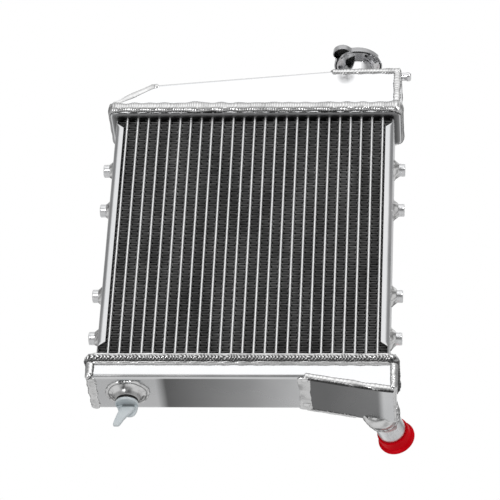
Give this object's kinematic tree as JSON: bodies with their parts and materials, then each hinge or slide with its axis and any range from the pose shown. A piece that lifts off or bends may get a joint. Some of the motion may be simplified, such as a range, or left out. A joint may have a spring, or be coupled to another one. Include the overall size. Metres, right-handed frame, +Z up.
{
  "type": "car radiator",
  "caption": "Welded aluminium car radiator: upright flat-tube core, sloping top tank with a sprung pressure cap, bottom tank with a screw drain plug and a wedge-shaped hose outlet.",
  "frame": {"origin": "middle of the core's front face", "axes": "+Z up, from the bottom tank to the top tank; +Y through the core, from its front face to its back, where the hose pipes point; +X along the tanks, towards the filler neck"},
  "size_m": [0.2926, 0.1135, 0.4147],
  "materials": {
    "sheet_aluminium": "polished sheet",
    "tube_aluminium": "satin",
    "fin_aluminium": "thin dark coat",
    "weld_aluminium": "as welded",
    "turned_aluminium": "turned",
    "cap_steel": "pressed, bright",
    "spring_steel": "drawn wire",
    "valve_brass": "pressed",
    "black_rubber": "matte",
    "plug_plastic": "moulded",
    "red_plastic": "moulded"
  },
  "bodies": {
    "radiator": {"core_tubes_front": "tube_aluminium", "core_tubes_rear": "tube_aluminium", "cooling_fins": "fin_aluminium", "left_side_plate": "sheet_aluminium", "right_side_plate": "sheet_aluminium", "top_header": "sheet_aluminium", "bottom_header": "sheet_aluminium", "top_tank_shell": "sheet_aluminium", "top_tank_left_plate": "sheet_aluminium", "top_tank_right_plate": "sheet_aluminium", "neck_plate": "sheet_aluminium", "bottom_tank_shell": "sheet_aluminium", "bottom_tank_left_plate": "sheet_aluminium", "bottom_tank_right_plate": "sheet_aluminium", "outlet_box_plate": "sheet_aluminium", "top_header_weld": "weld_aluminium", "bottom_header_weld": "weld_aluminium", "top_tank_welds": "weld_aluminium", "bottom_tank_welds": "weld_aluminium", "outlet_box_welds": "weld_aluminium", "mounting_bosses_left": "turned_aluminium", "mounting_bosses_right": "turned_aluminium", "boss_welds": "weld_aluminium", "filler_neck": "turned_aluminium", "filler_neck_weld": "weld_aluminium", "overflow_pipe": "turned_aluminium", "drain_boss": "turned_aluminium", "drain_boss_weld": "weld_aluminium", "outlet_pipe": "turned_aluminium", "outlet_pipe_weld": "weld_aluminium", "inlet_pipe": "turned_aluminium", "inlet_pipe_weld": "weld_aluminium"},
    "filler_cap": {"cap_shell": "cap_steel", "cap_diaphragm": "cap_steel", "cap_bell": "cap_steel", "cap_rivet": "cap_steel", "pressure_spring": "spring_steel"},
    "pressure_valve": {"pressure_valve_plate": "valve_brass", "pressure_valve_seal": "black_rubber", "vacuum_spring": "spring_steel"},
    "vacuum_valve": {"vacuum_valve": "valve_brass"},
    "drain_seal": {"drain_o_ring": "black_rubber"},
    "drain_plug": {"drain_plug": "plug_plastic"},
    "outlet_cap": {"outlet_cap": "red_plastic"},
    "inlet_cap": {"inlet_cap": "red_plastic"}
  },
  "joints": [
    {"name": "cap_turn", "type": "hinge", "parent": "radiator", "child": "filler_cap", "pos_m": [0.0944, 0.02, 0.1874], "axis": [0, 0, 1], "range_deg": [0, 90]},
    {"name": "pressure_valve_lift", "type": "slide", "parent": "filler_cap", "child": "pressure_valve", "axis": [0, 0, 1], "range_m": [0, 0.004], "stiffness_N_per_m": 1500, "springref_m": -0.005, "deforming": ["pressure_spring"]},
    {"name": "vacuum_valve_drop", "type": "slide", "parent": "pressure_valve", "child": "vacuum_valve", "axis": [0, 0, -1], "range_m": [0, 0.002], "stiffness_N_per_m": 200, "springref_m": -0.002, "deforming": ["vacuum_spring"]},
    {"name": "drain_slide", "type": "slide", "parent": "radiator", "child": "drain_seal", "axis": [0, 0, -1], "range_m": [0, 0.006]},
    {"name": "drain_turn", "type": "hinge", "parent": "drain_seal", "child": "drain_plug", "pos_m": [-0.1018, 0.0185, -0.1585], "axis": [0, 0, -1], "range_deg": [0, 1440]},
    {"name": "outlet_cap_pull", "type": "slide", "parent": "radiator", "child": "outlet_cap", "axis": [0.2756, 0.9613, 0], "range_m": [0, 0.03]},
    {"name": "inlet_cap_pull", "type": "slide", "parent": "radiator", "child": "inlet_cap", "axis": [0, 1, 0], "range_m": [0, 0.03]}
  ],
  "couplings": [
    {"joint": "drain_turn", "follows": "drain_slide", "rad_per_m": 4188.8}
  ]
}
